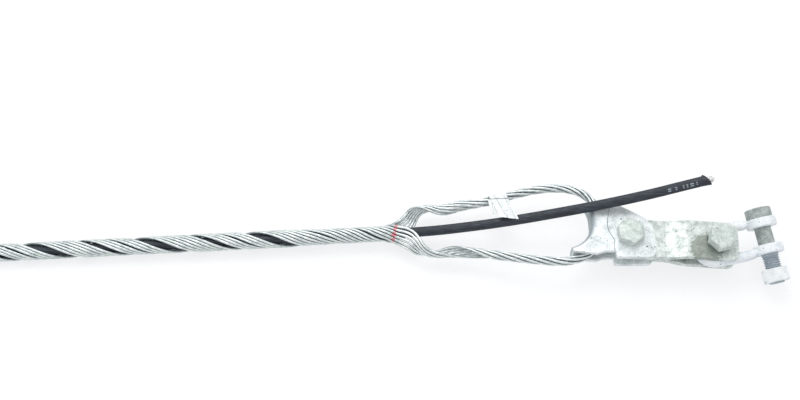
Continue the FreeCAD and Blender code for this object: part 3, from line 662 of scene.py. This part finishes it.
def zinc_coat(name, low, mid, high, mottle, metallic, rough_low, rough_high, pit="#7E8688", pitted=0.8,
              pit_apart=3.2):
    """Dip coat: two sizes of mottle, the larger one given in millimetres, and scattered pits.

    A pit is the middle of a cell of a Voronoi pattern, in the share of cells above pitted.
    """
    finish, tree, shader = new_finish(name)
    where = add(tree, "TexCoord")
    clouds = add(tree, "TexNoise", {"Scale": 1000 / mottle, "Detail": 6.0, "Roughness": 0.62},
                 {"Vector": where.outputs["Object"]})
    specks = add(tree, "TexNoise", {"Scale": 6000 / mottle, "Detail": 3.0},
                 {"Vector": where.outputs["Object"]})
    both = add(tree, "Mix", {"Factor": 0.35}, {"A": clouds.outputs["Fac"], "B": specks.outputs["Fac"]})
    colour = ramp(tree, both.outputs["Result"], [(0.36, low), (0.5, mid), (0.62, high)])
    cells = add(tree, "TexVoronoi", {"Scale": 1000 / pit_apart}, {"Vector": where.outputs["Object"]})
    chance = add(tree, "SeparateColor", links={0: cells.outputs["Color"]})
    chosen = add(tree, "Math", {1: pitted}, {0: chance.outputs[0]}, operation="GREATER_THAN")
    hollow = add(tree, "MapRange", {"From Min": 0.12, "From Max": 0.3, "To Min": 1.0, "To Max": 0.0},
                 {"Value": cells.outputs["Distance"]})
    pits = add(tree, "Math", links={0: chosen.outputs[0], 1: hollow.outputs[0]}, operation="MULTIPLY")
    dotted = add(tree, "Mix", {"B": linear(pit)}, {"Factor": pits.outputs[0], "A": colour},
                 data_type="RGBA")
    tree.links.new(dotted.outputs["Result"], shader.inputs["Base Color"])
    rough = add(tree, "MapRange", {"From Min": 0.3, "From Max": 0.7, "To Min": rough_high,
                                   "To Max": rough_low}, {"Value": both.outputs["Result"]})
    tree.links.new(rough.outputs[0], shader.inputs["Roughness"])
    sunk = add(tree, "Math", {1: -0.5, 2: 0.0}, {0: pits.outputs[0], 2: both.outputs["Result"]},
               operation="MULTIPLY_ADD")
    bump = add(tree, "Bump", {"Strength": 0.45, "Distance": 0.0004}, {"Height": sunk.outputs[0]})
    tree.links.new(bump.outputs[0], shader.inputs["Normal"])
    shader.inputs["Metallic"].default_value = metallic
    return finish, tree, shader


cast_zinc, tree, shader = zinc_coat("hot dip zinc on a casting", "#BFC7C8", "#E2E7E7", "#F4F7F7",
                                    12, 0.25, 0.35, 0.62)
shade = shader.inputs["Base Color"].links[0].from_socket

# The saddle's hollow face, out to about 36 mm from the saddle's centre, gets painted shade,
# darker and bluer. Two deep pinholes in the upper ear get painted shade as dark spots.
saddle_at, ear_top = (-0.072, 0.019, 0), 0.04625
where = add(tree, "TexCoord")
in_plan = add(tree, "VectorMath", {1: (1, 1, 0)}, {0: where.outputs["Object"]}, operation="MULTIPLY")
off_saddle = add(tree, "VectorMath", {1: saddle_at}, {0: in_plan.outputs[0]}, operation="DISTANCE")
hollow = add(tree, "MapRange", {"From Min": 0.0345, "From Max": 0.0375, "To Min": 0.8, "To Max": 0.0},
             {"Value": off_saddle.outputs["Value"]})
shaded = add(tree, "Mix", {"B": linear("#8A969D")}, {"Factor": hollow.outputs[0], "A": shade},
             data_type="RGBA")
shade = shaded.outputs["Result"]
# Painted shade: each pinhole is a dark spot in the colour, and the mesh has no hole there.
for x, y, radius in ((-0.0079, 0.0192, 0.0011), (0.0168, -0.0148, 0.0013)):
    off_hole = add(tree, "VectorMath", {1: (x, y, ear_top)}, {0: where.outputs["Object"]},
                   operation="DISTANCE")
    hole = add(tree, "MapRange", {"From Min": 0.6 * radius, "From Max": radius, "To Min": 0.85,
                                  "To Max": 0.0}, {"Value": off_hole.outputs["Value"]})
    painted_pinhole_shade = add(tree, "Mix", {"B": linear("#454C50")}, {"Factor": hole.outputs[0], "A": shade},
               data_type="RGBA")
    shade = painted_pinhole_shade.outputs["Result"]
tree.links.new(shade, shader.inputs["Base Color"])
dress(["thimble"], cast_zinc)

# A bead of metal 1 mm thick lies half sunk in the upper ear, where the two halves of the
# mould met. Its finish is greyer and darker than the ear's, so it shows as a grey line.
seam_zinc = zinc_coat("darker zinc on a mould seam", "#7F898C", "#A0A9AB", "#BFC7C8", 6, 0.3, 0.4, 0.6)[0]
bead_plan = np.array([(-19.4, 33.5), (-20.6, 28), (-23.4, 14), (-21.6, 2), (-17.6, -7.4), (-18.4, -16),
                      (-18.2, -19)]) / 1000
bead_r = 0.0005
bead_line = through(np.c_[bead_plan, np.full(len(bead_plan), ear_top - bead_r / 10)], 60)[0]
bead = round_bar("casting_bead", bead_line, upright[None, :], bead_r, seam_zinc, 8)
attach(bead, "grip")


# The two strap links are bars of flat steel, punched, bent and dipped. The zinc on them
# is greyer and greener than on the thimble, and a painted shadow of the link bolt's head,
# with a ragged edge, about 35 mm across, lies beside the link bolt.

strap_zinc, tree, shader = zinc_coat("hot dip zinc on strap", "#A3ACA8", "#CFD6D2", "#EBEFEC", 8, 0.3,
                                     0.3, 0.55, "#6F7775", 0.86)
plain = shader.inputs["Base Color"].links[0].from_socket
where = add(tree, "TexCoord")
# Painted shadow of the link bolt's head: a darker patch with a ragged edge beside the bolt.
bolt_shadow_at = (0.0805, -0.0180, 0.047)
off_bolt_shadow = add(tree, "VectorMath", {1: bolt_shadow_at}, {0: where.outputs["Object"]}, operation="DISTANCE")
shadow_noise = add(tree, "TexNoise", {"Scale": 210.0, "Detail": 5.0, "Roughness": 0.65},
           {"Vector": where.outputs["Object"]})
uneven = add(tree, "Math", {1: -0.016}, {0: shadow_noise.outputs["Fac"], 2: off_bolt_shadow.outputs["Value"]},
             operation="MULTIPLY_ADD")
near = add(tree, "MapRange", {"From Min": 0.0085, "From Max": 0.0105, "To Min": 1.0, "To Max": 0.0},
           {"Value": uneven.outputs[0]})
patch = add(tree, "MapRange", {"From Min": 0.36, "From Max": 0.6, "To Min": 0.7, "To Max": 1.0},
            {"Value": shadow_noise.outputs["Fac"]})
bolt_shadow_mask = add(tree, "Math", links={0: near.outputs[0], 1: patch.outputs[0]}, operation="MULTIPLY")
faded_print_and_shadow = add(tree, "Math", {1: 0.88}, {0: bolt_shadow_mask.outputs[0]}, operation="MULTIPLY")
painted_bolt_shadow = add(tree, "Mix", {"B": linear("#838A80")}, {"Factor": faded_print_and_shadow.outputs[0], "A": plain},
            data_type="RGBA")
tree.links.new(painted_bolt_shadow.outputs["Result"], shader.inputs["Base Color"])
dress(["strap_upper", "strap_lower"], strap_zinc)


# The bolts are forged from hexagon bar, threaded before they were dipped, so the zinc
# fills the roots of the thread a little. The heads are chamfered, with blunt corners. The
# link bolt leans in its worn holes, and the shackle bolt is rolled as the shackle is.


def about_z(degrees):
    """Matrix of a turn about the upright axis."""
    c, s = math.cos(math.radians(degrees)), math.sin(math.radians(degrees))
    return np.array([[c, -s, 0], [s, c, 0], [0, 0, 1]])


lean, lean_side, roll = math.radians(8), math.radians(-60), math.radians(18)
lean_axis = (math.sin(lean) * math.cos(lean_side), math.sin(lean) * math.sin(lean_side), math.cos(lean))
pin_frame = about_z(12.5) @ aim([0, math.cos(roll), math.sin(roll)])

# The coat on the two upright bolts is matt and grey-green. On the shackle bolt it is dull
# and dark, and lighter and bluer from the lower eye on down the thread. The shackle's nut is
# nearly white.
bolt_zinc = zinc_coat("hot dip zinc on bolts", "#AEB8B3", "#CCD5D0", "#E0E7E3", 8, 0.3, 0.42, 0.66,
                      "#808680", 0.85)[0]
pin_zinc, tree, shader = zinc_coat("dull zinc on the shackle bolt", "#89928F", "#A9B1AE", "#C5CBC8",
                                   6, 0.4, 0.42, 0.68, "#5F6766", 0.85)
coat = shader.inputs["Base Color"].links[0].from_socket
where = add(tree, "TexCoord")
down_pin = add(tree, "VectorMath", {1: tuple(-pin_frame[:, 2])}, {0: where.outputs["Object"]},
               operation="DOT_PRODUCT")
on_thread = add(tree, "MapRange", {"From Min": 0.0325, "From Max": 0.0345, "To Min": 0.0,
                                   "To Max": 0.85}, {"Value": down_pin.outputs["Value"]})
thread_tint = add(tree, "Mix", {"B": linear("#AEB8C2")}, {"Factor": on_thread.outputs[0], "A": coat},
            data_type="RGBA")
tree.links.new(thread_tint.outputs["Result"], shader.inputs["Base Color"])
nut_zinc = zinc_coat("bright zinc on a nut", "#DDE3E3", "#F1F4F4", "#FAFBFB", 9, 0.08, 0.38, 0.6)[0]
bolt_flats = 0.027
head_t = 0.0115
bevel_r = 0.0128
shank_r = 0.009
pitch = 0.0025
eased = 0.0004


def threaded_bolt(name, finish, shank, threaded, frame_matrix, origin, body, node):
    """One bolt as a skin turned about its axis, with its head on top and its origin under it.

    Each row is a radius and a height. The head's side is the hexagon's distance from the
    axis, half the flats over the cosine of the angle from a flat, and its chamfer falls
    from the flat top by the tangent of thirty degrees. Its lower edge and the corner
    where the shank leaves it are eased by 0.4 mm. The thread is a ridge, 1.5 mm high,
    whose height follows the angle and the distance along the shank, one turn a pitch,
    rounded at root and crest, and it is cut in over 4 mm.
    """
    a = np.linspace(0, 2 * math.pi, 72, endpoint=False)[None, :]
    off_flat = np.mod(a, math.pi / 3) - math.pi / 6
    hexagon = np.minimum(bolt_flats / 2 / np.cos(off_flat), bolt_flats / math.sqrt(3) - 0.00015)
    fall = (hexagon - bevel_r) * math.tan(math.radians(30))
    level = 0 * a
    rows = [(level + 0.0100, level + head_t - 0.00005), (level + bevel_r - eased, level + head_t),
            (level + bevel_r, head_t - 0.00015 + level), (hexagon - 0.0002, head_t - fall + 0.0001),
            (hexagon, head_t - fall - 0.0002), (hexagon, level + eased), (hexagon - eased, level),
            (level + shank_r + eased, level), (level + shank_r, level - eased)]
    plain = np.linspace(-eased, threaded - shank, 6)[1:]
    rows += [(level + shank_r, level + z) for z in plain]
    depth = np.arange(threaded - shank - pitch / 8, 0.0012 - shank, -pitch / 8)
    ridge = 0.5 + 0.5 * np.sin(2 * math.pi * depth[:, None] / pitch + a)
    cut_in = smooth((threaded - shank - depth) / 0.004)[:, None]
    thread_r = shank_r - 0.0015 * cut_in * smooth(1.25 * ridge)
    rows += [(r[None, :], level + z) for r, z in zip(thread_r, depth)]
    rows += [(level + shank_r - 0.0014, level + eased - shank),
             (level + shank_r - 0.0018, level - shank)]
    out, up = np.vstack([r for r, z in rows]), np.vstack([z for r, z in rows])
    local = np.stack([out * np.cos(a), out * np.sin(a), up], axis=-1)
    made = skin(name, (np.array(origin) + local @ frame_matrix.T)[::-1], finish, sharp=24)
    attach(made, body)
    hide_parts(node)
    return made


big_bolt = threaded_bolt("thimble_bolt_threaded", bolt_zinc, 0.04625, 0.026, about_z(36),
                         (0, 0, ear_top), "grip", "thimble_bolt")
link_bolt = threaded_bolt("link_bolt_threaded", bolt_zinc, 0.051, 0.026, aim(lean_axis) @ about_z(16),
                          (0.0955, -0.009465, 0.0532), "link", "link_bolt")
pin = threaded_bolt("shackle_bolt_threaded", pin_zinc, 0.0729, 0.032, pin_frame,
                    (0.14627, 0.02221, 0.041165), "shackle", "shackle_bolt")
dress(["thimble_nut", "thimble_washer", "link_nut"], bolt_zinc)
dress(["shackle_nut"], nut_zinc)


# The shackle is a forging of round bar, hot dipped. The coat ran smooth on it, so it is
# whiter and bluer than the straps and has a soft shine, with few pits.

forged_zinc = zinc_coat("hot dip zinc on a forging", "#DCE4EA", "#F1F5F8", "#FBFCFD",
                        12, 0.08, 0.26, 0.46, "#8D9AA5", 0.88)[0]
dress(["shackle"], forged_zinc)
